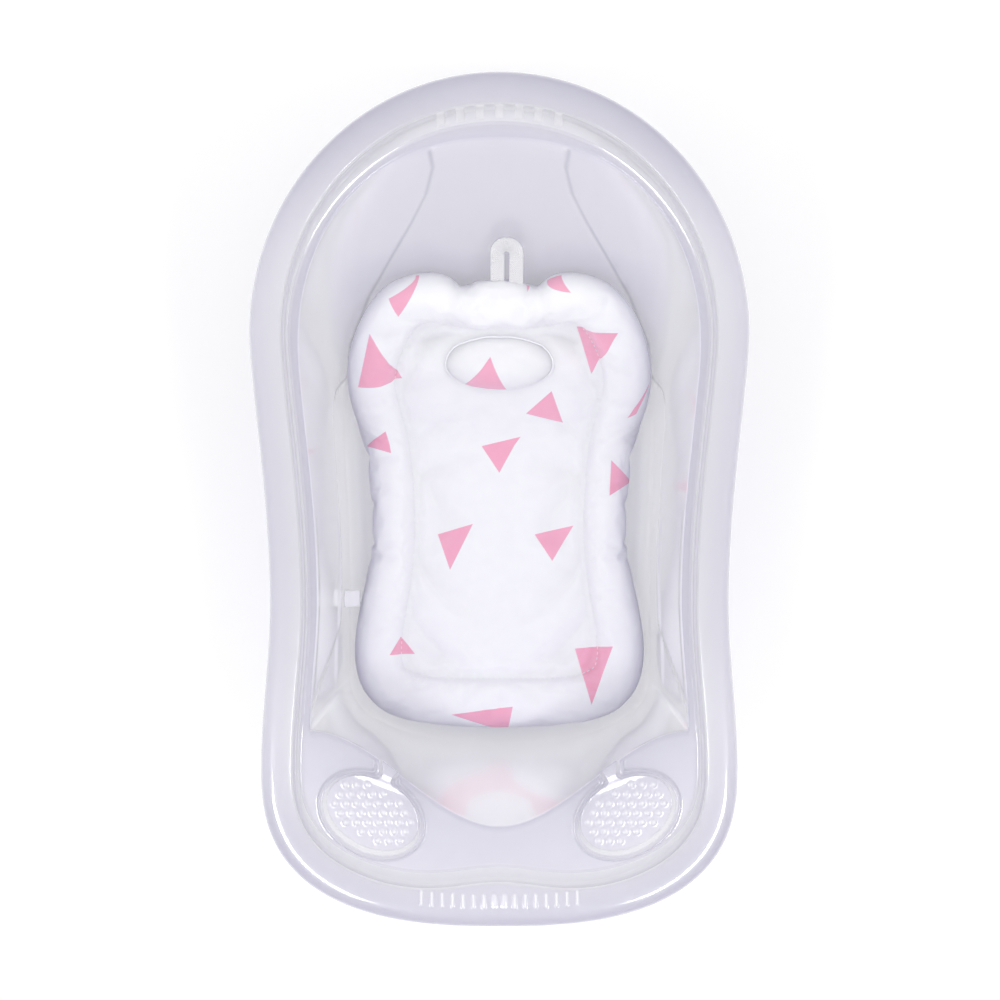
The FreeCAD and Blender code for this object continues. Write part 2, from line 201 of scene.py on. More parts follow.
def normals_of(thing):
    flat = np.empty(len(thing.data.vertices) * 3)
    thing.data.vertex_normals.foreach_get("vector", flat)
    return flat.reshape(-1, 3)


def store(thing, name, values):
    """Keeps a number for each point, for the materials to read."""
    thing.data.attributes.new(name, "FLOAT", "POINT").data.foreach_set("value", values)


def store_flat(thing, flat):
    """Keeps each point's place on the flat fabric, for its printed pattern and its knit."""
    attribute = thing.data.attributes.new("flat", "FLOAT_VECTOR", "POINT")
    attribute.data.foreach_set("vector", (flat * MM).ravel())


def grid_faces(rows, columns, wrap_rows=False, wrap_columns=True):
    """Quads of a grid of points stored row after row."""
    faces = []
    for row in range(rows if wrap_rows else rows - 1):
        here, below = row * columns, (row + 1) % rows * columns
        for c in range(columns if wrap_columns else columns - 1):
            beside = (c + 1) % columns
            faces.append((here + c, here + beside, below + beside, below + c))
    return faces


def end_caps(count, sides):
    """Faces over the first and the last ring of that many points."""
    return [tuple(range(sides)), tuple(range(count - 1, count - sides - 1, -1))]


def around(sides):
    """Evenly spaced angles all the way round."""
    return np.linspace(0, 2 * math.pi, sides, endpoint=False)


def many(name, parts):
    """One object from several (points, faces) parts."""
    points, faces = [], []
    for part_points, part_faces in parts:
        start = len(points)
        points += [tuple(p) for p in part_points]
        faces += [tuple(start + i for i in face) for face in part_faces]
    return put_mesh(name, points, faces)


def search_tree(points, polygons):
    return BVHTree.FromPolygons(points, [tuple(p.vertices) for p in polygons])


def join(things, name):
    """Several objects joined into the first one, under one name."""
    bpy.ops.object.select_all(action="DESELECT")
    for thing in things:
        thing.select_set(True)
    bpy.context.view_layer.objects.active = things[0]
    bpy.ops.object.join()
    things[0].name = name
    return things[0]


@contextmanager
def editing(thing):
    """The object's mesh, open for edits and written back at the end."""
    work = bmesh.new()
    work.from_mesh(thing.data)
    yield work
    work.to_mesh(thing.data)
    work.free()


def fix_normals(thing):
    with editing(thing) as work:
        bmesh.ops.recalc_face_normals(work, faces=work.faces)


def apply_modifiers(thing):
    """Turns the object's modifiers into its mesh."""
    graph = bpy.context.evaluated_depsgraph_get()
    mesh = bpy.data.meshes.new_from_object(thing.evaluated_get(graph))
    thing.modifiers.clear()
    thing.data = mesh
    return thing


def modify(thing, kind, **settings):
    """Runs one modifier on the object and keeps the result as its mesh."""
    configure(thing.modifiers.new(kind.lower(), kind), **settings)
    return apply_modifiers(thing)


def smooth(share):
    """A soft step: 0 up to a share of 0, and 1 from a share of 1."""
    share = np.clip(share, 0.0, 1.0)
    return share * share * (3 - 2 * share)


# ==== the tub's plan

@dataclass
class Outline:
    """A closed plan shape: a rounded head end, a waist and a rounded foot end."""
    head_end: float
    foot_end: float
    head_half: float
    waist_half: float
    foot_half: float
    head_y: float
    waist_y: float
    foot_y: float
    head_power: float
    foot_power: float
    foot_bell: float = 0.0

    def grown(self, by, head_by=None, foot_by=None):
        """The same outline moved outwards by that distance, or inwards if it is negative."""
        head_by = by if head_by is None else head_by
        foot_by = by if foot_by is None else foot_by
        return Outline(self.head_end + head_by, self.foot_end - foot_by, self.head_half + by,
                       self.waist_half + by, self.foot_half + by, self.head_y, self.waist_y,
                       self.foot_y, self.head_power, self.foot_power, self.foot_bell)

    def side_half(self, y):
        """Half width between the two end caps: a smooth step down to the waist and up again."""
        head_share = np.clip((self.head_y - y) / (self.head_y - self.waist_y), 0, 1) ** 0.78
        foot_share = (self.waist_y - y) / (self.waist_y - self.foot_y)
        head_part = self.head_half + (self.waist_half - self.head_half) * smooth(head_share)
        foot_part = self.waist_half + (self.foot_half - self.waist_half) * smooth(foot_share)
        return np.where(y > self.waist_y, head_part, foot_part)

    def ring(self, z):
        """The outline's points at that height, from the head end's middle clockwise."""
        share = (np.arange(CAP_STEPS) + 1) / CAP_STEPS
        head_x, head_y = superellipse(share, self.head_half, self.head_end - self.head_y, self.head_power)
        side_y = self.head_y + (self.foot_y - self.head_y) * np.arange(1, SIDE_STEPS) / SIDE_STEPS
        depth = self.foot_y - self.foot_end
        round_x, round_y = superellipse(share, self.foot_half, depth, self.foot_power)
        foot_x = round_x + (self.foot_half * share - round_x) * self.foot_bell
        foot_y = round_y + (depth * smooth(1 - share) - round_y) * self.foot_bell
        x = np.concatenate([head_x, self.side_half(side_y), foot_x[::-1]])
        y = np.concatenate([self.head_y + head_y, side_y, self.foot_y - foot_y[::-1]])
        x = np.concatenate([[0.0], x, [0.0], -x[::-1]])
        y = np.concatenate([[self.head_end], y, [self.foot_end], y[::-1]])
        return np.column_stack([x, y, np.full(len(x), float(z))])


def superellipse(share, half_x, half_y, power):
    """Points of a superellipse quarter, from the end's middle at share 0 to the side at share 1."""
    angle = share * math.pi / 2
    return (half_x * np.sin(angle) ** (2 / power),
            half_y * np.maximum(np.cos(angle), 0.0) ** (2 / power))


def between(a, b, share):
    """The outline that lies that share of the way from a to b."""
    mixed = [getattr(a, f.name) + (getattr(b, f.name) - getattr(a, f.name)) * share for f in fields(a)]
    return Outline(*mixed)


RIM = Outline(LENGTH / 2, -LENGTH / 2, HEAD_WIDTH / 2, WAIST_WIDTH / 2, FOOT_WIDTH / 2,
              168.0, -108.0, -272.0, 2.0, 2.6)
LEDGE_OUTER = RIM.grown(-LEDGE_INSET, -LEDGE_INSET - HEAD_SETBACK, -LEDGE_INSET - FOOT_SETBACK)
CAVITY_TOP = Outline(375.0, -337.0, 207.0, 187.0, 194.0, 158.0, -105.0, -238.0, 2.15, 2.0, 1.0)
CAVITY_FLOOR = Outline(95.0, -275.0, 172.0, 168.0, 167.0, 50.0, -80.0, -200.0, 7.0, 2.6, 0.0)
LEDGE_Z = HEIGHT - LEDGE_DEPTH
CAVITY_HEIGHT = LEDGE_Z - FLOOR_TOP
BACKREST_ANGLE = math.atan2(CAVITY_HEIGHT, CAVITY_TOP.head_end - CAVITY_FLOOR.head_end)
FOOT_WALL_ANGLE = math.atan2(CAVITY_HEIGHT, CAVITY_FLOOR.foot_end - CAVITY_TOP.foot_end)


# ==== the tub's wall

@dataclass
class Key:
    """One ring of the wall's section, with the radius that rounds it and the steps on to the next."""
    ring: np.ndarray
    radius: float = 0.0
    steps: int = 1


def toward(start, end, distance):
    """Points that distance from start on the way to end."""
    way = end - start
    length = np.linalg.norm(way, axis=1, keepdims=True)
    return start + way * np.minimum(distance / np.maximum(length, 1e-9), 0.48)


def section_rows(keys, round_steps):
    """Every row of points along a chain of keys."""
    rows = []
    leave = keys[0].ring
    for i, key in enumerate(keys):
        arrive = key.ring
        if key.radius:
            arrive = toward(key.ring, keys[i - 1].ring, key.radius)
        if i:
            steps = keys[i - 1].steps
            rows += [leave + (arrive - leave) * s / steps for s in range(1, steps)]
        rows.append(arrive)
        leave = arrive
        if key.radius:
            leave = toward(key.ring, keys[i + 1].ring, key.radius)
            for t in np.arange(1, round_steps + 1) / round_steps:
                rows.append((1 - t) ** 2 * arrive + 2 * t * (1 - t) * key.ring + t ** 2 * leave)
    return rows


def around_drain(ring, radius, z):
    """The ring's points drawn in to a circle round the drain."""
    way = ring[:, :2] - DRAIN
    way /= np.linalg.norm(way, axis=1, keepdims=True)
    return np.column_stack([DRAIN + way * radius, np.full(len(ring), float(z))])


def wall_outline(share, out):
    """The cavity's outline at that share of its height, moved out across the wall."""
    outline = between(CAVITY_FLOOR, CAVITY_TOP, share)
    return outline.grown(out, out / math.sin(BACKREST_ANGLE), out / math.sin(FOOT_WALL_ANGLE))


def widened(ring, share):
    """The ring with its foot end's middle moved inwards, for the platform that carries the ribs."""
    moved = ring.copy()
    middle = np.exp(-(ring[:, 0] / PLATFORM_SPREAD) ** 2) * (ring[:, 1] < -200)
    moved[:, 1] += FOOT_PLATFORM * share * middle
    return moved


def rim_keys(out, arc_steps, fall_steps):
    """The rim from the skirt's edge over the shoulder and the crown to its inner edge."""
    keys = [Key(RIM.grown(-out).ring(HEIGHT - RIM_SKIRT), steps=3)]
    for angle in np.linspace(0, math.pi / 2, arc_steps + 1):
        inset = RIM_CROWN * (1 - math.cos(angle) ** (2 / RIM_POWER))
        rise = RIM_SHOULDER * (1 - math.sin(angle) ** (2 / RIM_POWER))
        keys.append(Key(RIM.grown(-out - inset).ring(HEIGHT - out - rise)))
    for share in np.arange(1, fall_steps + 1) / fall_steps:
        inset = RIM_CROWN + (RIM_WIDTH - RIM_CROWN) * share
        keys.append(Key(widened(RIM.grown(-out - inset).ring(HEIGHT - out - RIM_FALL * share ** 2), share)))
    return keys


def wall_section(out, fine):
    """Rows from the skirt's edge to the drain: the upper side if out is 0, the underside if it is WALL."""
    keys = rim_keys(out, 10 if fine else 6, 7 if fine else 4)
    keys[-1].radius = RIM_EDGE_ROUND
    keys[-1].steps = 4 if fine else 2
    if fine:
        rise = FACET_WIDTH * math.tan(FACET_TILT)
        keys.append(Key(widened(LEDGE_OUTER.grown(FACET_WIDTH / 2).ring(LEDGE_Z + rise), 1.0), FACET_ROUND))
        keys.append(Key(widened(LEDGE_OUTER.grown(-FACET_WIDTH / 2).ring(LEDGE_Z), 1.0), FACET_ROUND, 24))
    else:
        keys.append(Key(widened(LEDGE_OUTER.grown(out).ring(LEDGE_Z - out), 1.0), LEDGE_ROUND, 8))
    keys.append(Key(wall_outline(1.0, out).ring(LEDGE_Z - out), CAVITY_ROUND, 1))
    wall_steps = 38 if fine else 14
    lowest = FLOOR_FILLET / CAVITY_HEIGHT
    for i in range(wall_steps - 1, 0, -1):
        share = lowest + (1 - lowest) * i / wall_steps
        keys.append(Key(wall_outline(share, out).ring(FLOOR_TOP + CAVITY_HEIGHT * share)))
    for angle in np.linspace(math.pi / 2, 0, 9 if fine else 5):
        inset, rise = FLOOR_FILLET * (1 - math.sin(angle)), FLOOR_FILLET * (1 - math.cos(angle))
        outline = wall_outline(rise / CAVITY_HEIGHT, out).grown(-inset)
        keys.append(Key(outline.ring(FLOOR_TOP + rise - out * inset / FLOOR_FILLET)))
    keys[-1].steps = 8 if fine else 4
    base = keys[-1].ring
    sump_floor = FLOOR_TOP - SUMP_DEPTH - out
    collar_low = FLOOR_TOP - SUMP_DEPTH - WALL - COLLAR_DEPTH
    keys.append(Key(around_drain(base, SUMP_RADIUS + out, FLOOR_TOP - out), SUMP_ROUND, 1))
    keys.append(Key(around_drain(base, SUMP_RADIUS + out, sump_floor), SUMP_ROUND, 3))
    keys.append(Key(around_drain(base, DRAIN_RADIUS + out, sump_floor), 0.8, 1))
    keys.append(Key(around_drain(base, DRAIN_RADIUS + out, collar_low)))
    return section_rows(keys, 5 if fine else 3)


def dish_distance(x, y):
    """Distance outside the edge of dish and spout, less than 0 inside, and the way along the spout."""
    across, along = np.abs(x) - DISH_CENTRE[0], y - DISH_CENTRE[1]
    major = across * math.cos(DISH_TURN) + along * math.sin(DISH_TURN)
    minor = along * math.cos(DISH_TURN) - across * math.sin(DISH_TURN)
    share = np.maximum(np.hypot(major / DISH_SEMI_AXES[0], minor / DISH_SEMI_AXES[1]), 1e-6)
    bowl = np.hypot(major, minor) * (1 - 1 / share)
    down = across * math.cos(SPOUT_HEADING) + along * math.sin(SPOUT_HEADING)
    side = np.abs(along * math.cos(SPOUT_HEADING) - across * math.sin(SPOUT_HEADING))
    flare = smooth((down - SPOUT_LENGTH * 0.62) / (SPOUT_LENGTH * 0.45)) * SPOUT_FLARE
    spout = np.where(down > 0, side - SPOUT_WIDTH / 2 - flare, np.abs(down) + side)
    blend = np.clip(0.5 + 0.5 * (spout - bowl) / SPOUT_BLEND, 0, 1)
    return spout + (bowl - spout) * blend - SPOUT_BLEND * blend * (1 - blend), down


def nub_distance(x, y):
    """Distance to the nearest nub of the dish's grid."""
    nearest = np.full(np.shape(x), 1e3)
    middle = (len(NUB_ROWS) - 1) / 2
    for row, count in enumerate(NUB_ROWS):
        nub_y = DISH_CENTRE[1] - (row - middle) * NUB_PITCH * math.sqrt(3) / 2
        for i in range(count):
            nub_x = DISH_CENTRE[0] + (i - (count - 1) / 2 - (row - middle) / 2) * NUB_PITCH
            nearest = np.minimum(nearest, np.hypot(np.abs(x) - nub_x, y - nub_y))
    return nearest


def nub_share(x, y):
    """1 at the top of each nub, falling to 0 beside it."""
    return np.exp(-(nub_distance(x, y) / NUB_RADIUS) ** 2)


def dish_height(x, y):
    """How far the shelf is raised or sunk at a point by the dishes."""
    distance, down = dish_distance(x, y)
    depth = DISH_DEPTH + (SPOUT_DEPTH - DISH_DEPTH) * smooth((down - 25) / 20)
    sunk = depth * smooth(-distance / DISH_SLOPE)
    bead = BEAD_HEIGHT * np.exp(-((distance - BEAD_OFFSET) / BEAD_WIDTH) ** 2)
    return bead - sunk + NUB_HEIGHT * nub_share(x, y)


def sink_dishes(points, out):
    """Lowers the shelf at the dishes, and notches the wall's edge at their spouts."""
    x, y, z = points.T
    shelf = LEDGE_Z - out
    height = dish_height(x, y)
    on_shelf = (z > shelf - 0.3) & (z < shelf + 0.3)
    near = (np.abs(x) < CAVITY_REACH) & (y < DISH_ZONE_Y) & (z < shelf + 0.3) & (z > shelf - DISH_DEPTH - 6)
    surface = shelf + height
    lowered = np.where(near, np.minimum(z, surface), z)
    points[:, 2] = np.where(on_shelf & near, surface, lowered)
    return points


def near_dish(x, y, z):
    if not LEDGE_Z - 12 < z < LEDGE_Z + 1 or y > DISH_ZONE_Y:
        return False
    return dish_distance(np.array([x]), np.array([y]))[0][0] < 9


def refine(thing, chosen, cuts):
    """Divides the quads whose middles are chosen, so that small shapes come out round."""
    with editing(thing) as work:
        edges = set()
        for face in work.faces:
            if chosen(*(face.calc_center_median() / MM)):
                edges.update(face.edges)
        bmesh.ops.subdivide_edges(work, edges=list(edges), cuts=cuts, use_grid_fill=True)


def window(place, limits, edge):
    """1 between the two limits and 0 outside them, with soft edges inside them."""
    return smooth((place - limits[0]) / edge) * smooth((limits[1] - place) / edge)


def basin_share(x, y, z):
    """1 inside the basin and 0 outside it, with the basin's soft edge between them."""
    edge_y, edge_x = np.array(BASIN_EDGE, float).T
    climb = BASIN_HEIGHT + (LEDGE_Z + 8 - BASIN_HEIGHT) * smooth((-125 - y) / 118)
    beside = (np.interp(y, edge_y, edge_x) - np.abs(x)) / BASIN_EDGE_WIDTH
    below = (climb - z) / BASIN_EDGE_WIDTH
    return smooth(below + (beside - below) * smooth((y - 95) / 50) + 0.5)


def on_basin_edge(x, y, z):
    if not FLOOR_TOP + 12 < z < LEDGE_Z + 2 or y < 20:
        return False
    return 0.001 < float(basin_share(np.array([x]), np.array([y]), np.array([z]))[0]) < 0.999


def sink_basin(thing, out):
    """Sinks the basin and the side panels into the wall, by moving points across it."""
    points = points_of(thing)
    x, y, z = points[:, 0], points[:, 1], points[:, 2] + out
    basin = basin_share(x, y, z) * smooth((y + 262) / 20)
    panel = window(y, PANEL_Y, PANEL_EDGE) * window(z, PANEL_Z, PANEL_EDGE)
    on_wall = smooth((LEDGE_Z - 2 - z) / 6) * smooth((z - FLOOR_TOP - 2) / 20) * (np.abs(x) < CAVITY_REACH)
    sunk = (BASIN_SINK * basin + PANEL_SINK * panel) * on_wall
    thing.data.update()
    normals = normals_of(thing)
    floor = np.abs(z - FLOOR_TOP) < 0.5
    upward = np.sign(normals[floor, 2].sum())
    set_points(thing, points - normals * (upward * sunk)[:, None])
    inside = out == 0
    # painted shade: a dark line along the basin's soft edge on the upper side, where the crease is
    store(thing, "fold_shade", 4 * basin * (1 - basin) * on_wall * smooth((y - 60) / 60) * inside)


def lip(outer, inner, outer_start, inner_start):
    """Faces that close the gap between a ring and one with half as many points."""
    count, half = len(outer), len(inner)
    return [(outer_start + i, outer_start + i + 1, outer_start + (i + 2) % count,
             inner_start + (i // 2 + 1) % half, inner_start + i // 2) for i in range(0, count, 2)]


def end_y(outline, x, foot=False):
    """Where an outline's head or foot end is, that far across."""
    ring = outline.ring(0)
    end = ring[(ring[:, 1] < -200) if foot else (ring[:, 1] > 200)]
    order = np.argsort(end[:, 0])
    return np.interp(x, end[order, 0], end[order, 1])


def ridge(place, count, pitch, half_width, edge):
    """1 on each of several evenly spaced ridges and 0 between them, by the place across them."""
    nearest = np.clip(np.round(place / pitch + (count - 1) / 2), 0, count - 1)
    off = np.abs(place - (nearest - (count - 1) / 2) * pitch)
    return smooth((half_width - off) / edge + 0.5)


def rib_band(x, y):
    """1 on the platform's band that carries the ribs."""
    inset = y - end_y(RIM, x, True)
    return window(inset, RIB_INSETS, 2.5) * (y < RIB_ZONE_Y)


def rib_share(x, y, z):
    """1 on the ribs of the rim's platform at the foot end."""
    return ridge(x, RIB_COUNT, RIB_PITCH, RIB_SIZE[0] / 2, 1.4) * rib_band(x, y) * (z > RIB_ZONE_Z)


def flute_share(x, y, z):
    """1 on the flutes of the rim's inner wall at the head end."""
    drop = (HEIGHT - RIM_FALL - z) / (HEIGHT - RIM_FALL - LEDGE_Z)
    band = smooth((drop - 0.02) / 0.1) * smooth((0.8 - drop) / 0.15) * (y > end_y(LEDGE_OUTER, x) - 2)
    band = band * (y > FLUTE_ZONE_Y) * (y < end_y(RIM, x) - RIM_WIDTH + 5)
    return ridge(x, FLUTE_COUNT, FLUTE_PITCH, FLUTE_SIZE[0] / 2, 2.0) * band


def raise_ribs(thing):
    """Raises the ribs and the flutes out of the wall."""
    points = points_of(thing)
    x, y, z = points.T.copy()
    points[:, 2] += RIB_SIZE[1] * rib_share(x, y, z)
    points[:, 1] -= FLUTE_SIZE[1] * flute_share(x, y, z)
    set_points(thing, points)


def on_rib_band(x, y, z):
    reach = RIB_COUNT * RIB_PITCH / 2 + 2
    return (abs(x) < reach and y < RIB_ZONE_Y and z > RIB_ZONE_Z
            and RIB_INSETS[0] - 3 < y - float(end_y(RIM, x, True)) < RIB_INSETS[1] + 3)


def on_flute_band(x, y, z):
    reach = FLUTE_COUNT * FLUTE_PITCH / 2 + 2
    return (abs(x) < reach and y > FLUTE_ZONE_Y and LEDGE_Z + 2 < z < HEIGHT - 2
            and y < float(end_y(RIM, x)) - RIM_WIDTH + 6)


def legs(skin):
    """Legs from the rubber feet up to the underside, each with a socket for its foot's plug."""
    tree = search_tree([v.co.copy() for v in skin.data.vertices], skin.data.polygons)
    turns = around(LEG_SIDES)
    low = box_mm("foot_pad_foot_left")[0][2] + FOOT_DISC
    parts = []
    for y in LEG_Y:
        for x in (-LEG_X, LEG_X):
            ring, bore = [[(x + radius * math.cos(t), y + radius * math.sin(t)) for t in turns]
                          for radius in (LEG_RADIUS, LEG_RADIUS - WALL)]
            hits = [tree.ray_cast(Vector((a * MM, b * MM, low * MM)), Vector((0, 0, 1)))[0].z / MM
                    for a, b in ring]
            points = [(a, b, low + (hit + LEG_OVERLAP - low) * share)
                      for share in (1, 0.5, 0) for (a, b), hit in zip(ring, hits)]
            points += [(a, b, z) for z in (low, low + LEG_SOCKET) for a, b in bore]
            parts.append((points, grid_faces(5, LEG_SIDES) + end_caps(len(points), LEG_SIDES)))
    return many("legs", parts)


def wall_mesh(name, rows, out):
    """One side of the wall, with its basin and its dishes."""
    thing = put_mesh(name, rows.reshape(-1, 3), grid_faces(len(rows), rows.shape[1]))
    refine(thing, on_basin_edge, 2)
    sink_basin(thing, out)
    refine(thing, near_dish, 3)
    set_points(thing, sink_dishes(points_of(thing), out))
    return thing


def tub_skin():
    """The whole moulded wall, upper side and underside, with its legs, as one piece."""
    upper = np.array(wall_section(0.0, True))
    under = np.array(wall_section(WALL, False))[:, ::2]
    top = wall_mesh("tub_top", upper, 0.0)
    refine(top, on_rib_band, 3)
    refine(top, on_flute_band, 3)
    raise_ribs(top)
    bottom = wall_mesh("tub_bottom", under, WALL)
    wide, narrow = upper.shape[1], under.shape[1]
    rims = np.concatenate([upper[0], under[0], upper[-1], under[-1]])
    lips = lip(upper[0], under[0], 0, wide) + lip(upper[-1], under[-1], wide + narrow, 2 * wide + narrow)
    skin = join([top, bottom, put_mesh("tub_lips", rims, lips)], "tub")
    with editing(skin) as work:
        bmesh.ops.remove_doubles(work, verts=work.verts, dist=0.02 * MM)
        bmesh.ops.recalc_face_normals(work, faces=work.faces)
    supports = legs(skin)
    fix_normals(supports)
    skin = join([skin, supports], "tub")
    paint_light_and_shade(skin)
    return skin


def paint_light_and_shade(thing):
    """Stores painted light and shade: flat stretches painted darker, the rim less so away from its ends,
    and the floor, the lowest stretches, the ribs, the flutes and the nubs painted lighter.
    """
    x, y, z = points_of(thing).T
    rim = smooth((z - LEDGE_Z - 4) / 14)
    ends = smooth((np.hypot(x * 0.6, y) - 240) / 150)
    # painted light: the floor and the lowest stretches get less of the painted shade, against the cushion's
    # shadow round them
    high = smooth((z - 10) / PAINTED_LIGHT_Z)
    # painted shade: the flatter a stretch faces, the darker it is painted; the rim gets less of it, except
    # at the ends
    painted_light_and_shade = smooth(np.abs(normals_of(thing)[:, 2]) * 1.1) * (1 - RIM_SHADE_SPARE * rim * (1 - ends)) * high
    in_dish = (y < DISH_ZONE_Y) & (z > LEDGE_Z - DISH_DEPTH - 2) & (z < LEDGE_Z - 2)
    # painted highlights: the ribs, flutes and nubs are painted lighter, standing in for their glints
    thick = np.maximum(rib_share(x, y, z), np.maximum(flute_share(x, y, z), nub_share(x, y) * in_dish))
    store(thing, "painted_light_and_shade", painted_light_and_shade * (1 - thick))


# ==== the bath cushion

ROLL_RADIUS = 29.0
BED_GAP = 0.6
BACKREST_GAP = 4.0
ROLL_BEND = 60.0          # radius of the bend from the floor onto the backrest
ROLL_CLIMB = 134.0
LOOP_X = 8.0
LOOP_GAP = 1.6
LOOP_LEAN = math.radians(12.0)

BED_Z = FLOOR_TOP + BED_GAP + ROLL_RADIUS
FOLD_Y = CAVITY_FLOOR.head_end - BACKREST_GAP - (BED_GAP + ROLL_RADIUS) * math.tan(BACKREST_ANGLE / 2)
BEND_START = FOLD_Y - ROLL_BEND * math.tan(BACKREST_ANGLE / 2)
SLOPE_START = BEND_START + ROLL_BEND * BACKREST_ANGLE

# the right half of the cushion's edge, laid out flat: across, and along from the foot to the head
CUSHION_EDGE = ((0, 269), (38, 267), (70, 276), (116, 262), (150, 216), (167, 150), (158, 84), (149, 20),
                (149, -70), (162, -158), (148, -222), (88, -252), (0, -255))
EDGE_POINTS = 320
ROLL_FORM = 26.0          # the roll's radius before it is blown up
SEAT_FORM = 6.0           # half of the seat's thickness before it is blown up
CREASE_U = 39.0           # the creases between the head's three lobes
CREASE_REACH = 46.0
SEAM_INSET = 2 * ROLL_FORM - 1
GATHER_PITCH = 13.0
VOXEL = 4.6
PRESSURE = 4.0
SHRINK = 0.03
PUFF_LIMIT = 9.0          # the furthest that the simulation may move a point
PUFF_FRAMES = 20

STITCH_PITCH = 6.0
STITCH_LENGTH = 3.8
THREAD = 0.42
PILLOW = (59.0, 33.0, 15.0)   # half width, half height up the backrest, and thickness
PIPING = 1.1
PILLOW_V = SLOPE_START + 75.0

STRAP = (15.0, 1.7)       # the webbing's width and thickness
LOOP_RADIUS = 10.0        # of the centre line round the loop's top
LOOP_LEG = 36.5
LOOP_ROOT = -4.0          # where the strap starts, inside the roll
LOOP_STAGGER = 1.1        # one leg lies this much below the middle, and the other as much above it
LOOP_BANK = math.radians(24.0)
TAG_MIDDLE = -112.0
TAG_WIDTH = 19.0
TAG_START = (-158.0, 66.0)    # across and up, where it leaves the seam
TAG_TIP = (-173.0, 87.0)
TAG_FOLD = 0.45           # radius of the fold at its tip


def on_bed(flat):
    """Flat cushion places (across, along, height) bent onto the tub's floor and backrest."""
    u, v, n = flat.T
    angle = np.clip((v - BEND_START) / ROLL_BEND, 0, BACKREST_ANGLE)
    before = np.minimum(v - BEND_START, 0)
    climb = np.maximum(v - SLOPE_START, 0)
    y = BEND_START + before + (ROLL_BEND - n) * np.sin(angle) + climb * math.cos(BACKREST_ANGLE)
    z = BED_Z + ROLL_BEND - (ROLL_BEND - n) * np.cos(angle) + climb * math.sin(BACKREST_ANGLE)
    return np.column_stack([u, y, z])


def closed_curve(points, per_span):
    """A smooth closed curve through the points, with that many samples for each of them."""
    count = len(points)
    eye = np.eye(count)
    weights = (4 * eye + np.roll(eye, 1, 0) + np.roll(eye, -1, 0)) / 6
    control = np.linalg.solve(weights, points)
    t = (np.arange(per_span) / per_span)[None, :, None]
    basis = ((1 - t) ** 3, 3 * t ** 3 - 6 * t ** 2 + 4, 1 + 3 * t + 3 * t ** 2 - 3 * t ** 3, t ** 3)
    spans = sum(b / 6 * np.roll(control, 1 - k, axis=0)[:, None, :] for k, b in enumerate(basis))
    return spans.reshape(-1, points.shape[1])


def even_curve(points, count):
    """The closed curve's points spread evenly along it."""
    closed = np.vstack([points, points[:1]])
    along = np.concatenate([[0], np.cumsum(np.linalg.norm(np.diff(closed, axis=0), axis=1))])
    wanted = np.arange(count) / count * along[-1]
    return np.column_stack([np.interp(wanted, along, closed[:, i]) for i in range(points.shape[1])])


def cushion_edge():
    """The cushion's flat edge, its inward directions, and the roll's radius all along it."""
    right = np.array(CUSHION_EDGE, float)
    left = right[-2:0:-1] * (-1, 1)
    edge = even_curve(closed_curve(np.vstack([right, left]), 24), EDGE_POINTS)
    forward = np.roll(edge, -1, axis=0) - np.roll(edge, 1, axis=0)
    inward = np.column_stack([forward[:, 1], -forward[:, 0]])
    inward /= np.linalg.norm(inward, axis=1, keepdims=True)
    for _ in range(12):
        inward = (np.roll(inward, 1, axis=0) + 2 * inward + np.roll(inward, -1, axis=0)) / 4
    pinch = np.exp(-((np.abs(edge[:, 0]) - CREASE_U) / 9) ** 2) * (edge[:, 1] > 200)
    return edge, inward, ROLL_FORM * (1 - 0.24 * pinch)


def roll_form(edge, inward, radius):
    """The puffy roll round the edge, as a closed ring."""
    centre = edge + inward * ROLL_FORM
    rows = []
    for angle in around(20):
        place = centre - inward * (radius * math.cos(angle))[:, None]
        rows.append(np.column_stack([place, radius * math.sin(angle)]))
    return put_mesh("cushion_roll", np.vstack(rows), grid_faces(len(rows), len(edge), wrap_rows=True))


def seat_form(edge, inward):
    """The middle, from roll to roll, as a thin closed slab."""
    ring = edge + inward * ROLL_FORM
    count = len(ring)
    points = np.vstack([np.column_stack([ring, np.full(count, z)]) for z in (SEAT_FORM, -SEAT_FORM)])
    return put_mesh("cushion_seat", points, grid_faces(2, count) + end_caps(2 * count, count))


def vertex_group(thing, name, weights):
    group = thing.vertex_groups.new(name=name)
    for index, weight in enumerate(weights):
        if weight > 0.001:
            group.add([index], float(weight), "REPLACE")
    return name


def edge_places(flat, edge):
    """How far inside the cushion's edge each flat place is, and how far along the edge."""
    count = len(edge)
    step = np.linalg.norm(edge[1] - edge[0])
    spans = [(i, (i + 1) % count, i) for i in range(count)]
    tree = BVHTree.FromPolygons([(x, y, 0) for x, y in edge], spans)
    found = [tree.find_nearest((u, v, 0)) for u, v in flat[:, :2]]
    return np.array([f[3] for f in found]), np.array([f[2] * step for f in found])


def seam_weight(flat, inset):
    """1 on the sewn seams and 0 away from them: the roll's inner seam, and the creases at the head."""
    seam = np.exp(-((inset - SEAM_INSET) / 4.5) ** 2)
    along = np.clip((flat[:, 1] - (262 - CREASE_REACH)) / 12, 0, 1)
    crease = np.exp(-((np.abs(flat[:, 0]) - CREASE_U) / 4) ** 2) * along
    return np.maximum(seam, crease)


